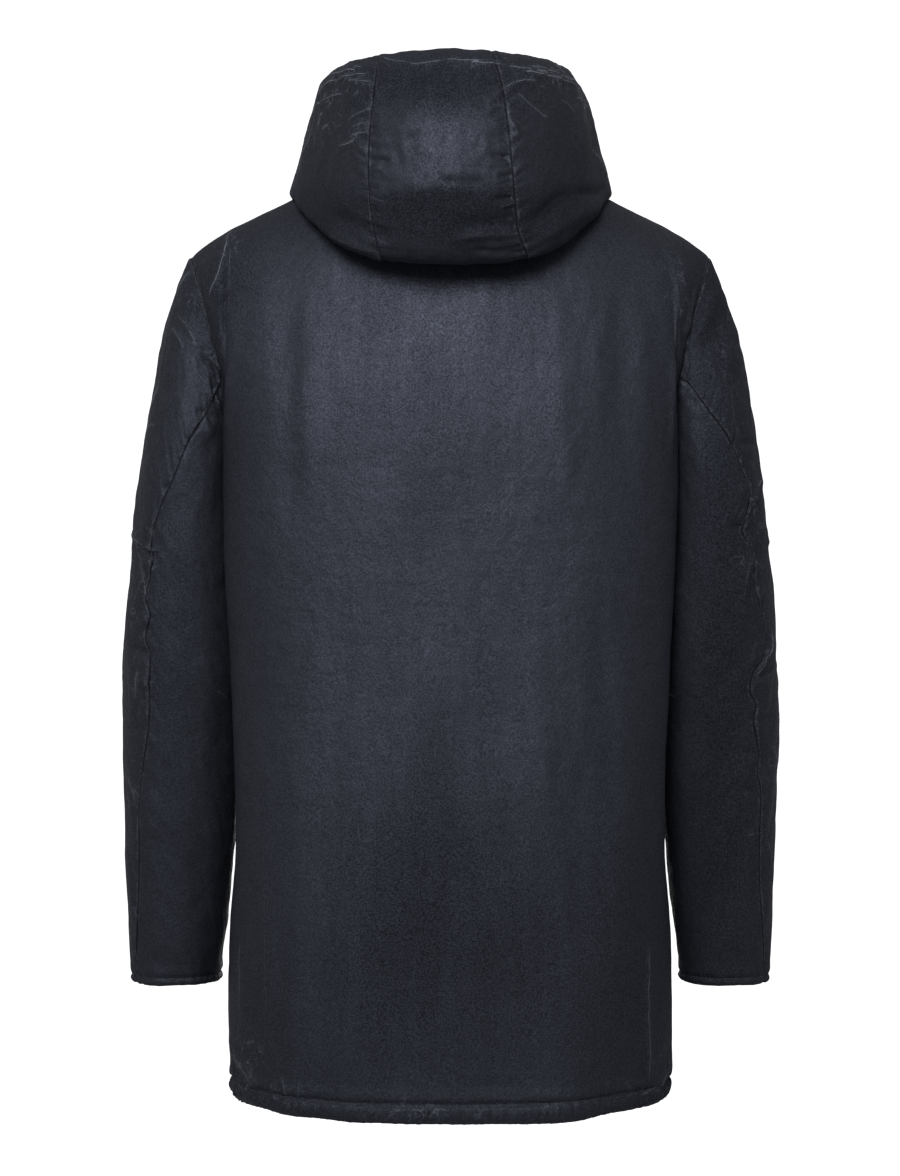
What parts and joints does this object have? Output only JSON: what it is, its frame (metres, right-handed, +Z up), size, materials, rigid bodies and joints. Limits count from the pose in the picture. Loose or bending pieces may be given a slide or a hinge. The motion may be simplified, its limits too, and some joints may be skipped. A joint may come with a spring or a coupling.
{
  "type": "hooded waxed cotton jacket",
  "caption": "Thigh-length padded waxed cotton jacket, filled out as worn and hollow, with its hood laid back, two-piece sleeves, a cord-gathered hem and a front zip with a swinging pull tab.",
  "frame": {"origin": "midway between the wearer's shoulders, level with the neck ends of the shoulder seams, where the wearer holds the jacket up", "axes": "+Z up, the front faces -Y, the wearer's left is +X"},
  "size_m": [0.6248, 0.3303, 0.9723],
  "materials": {
    "waxed_cotton": "waxed plain weave with a soft sheen and crack-like crease lines",
    "zip_tape": "matt woven tape with moulded teeth",
    "dark_metal": "satin dark nickel"
  },
  "bodies": {
    "jacket": {"back": "waxed_cotton", "front_left": "waxed_cotton", "front_right": "waxed_cotton", "sleeve_top_left": "waxed_cotton", "sleeve_top_right": "waxed_cotton", "sleeve_under_left": "waxed_cotton", "sleeve_under_right": "waxed_cotton", "hood_centre": "waxed_cotton", "hood_side_left": "waxed_cotton", "hood_side_right": "waxed_cotton", "zip": "zip_tape", "zip_slider": "dark_metal"},
    "pull_tab": {"zip_pull": "dark_metal"}
  },
  "joints": [
    {"name": "pull_tab_swing", "type": "hinge", "parent": "jacket", "child": "pull_tab", "pos_m": [0, -0.12755, -0.031], "axis": [-1, 0, 0], "range_deg": [0, 160]}
  ]
}
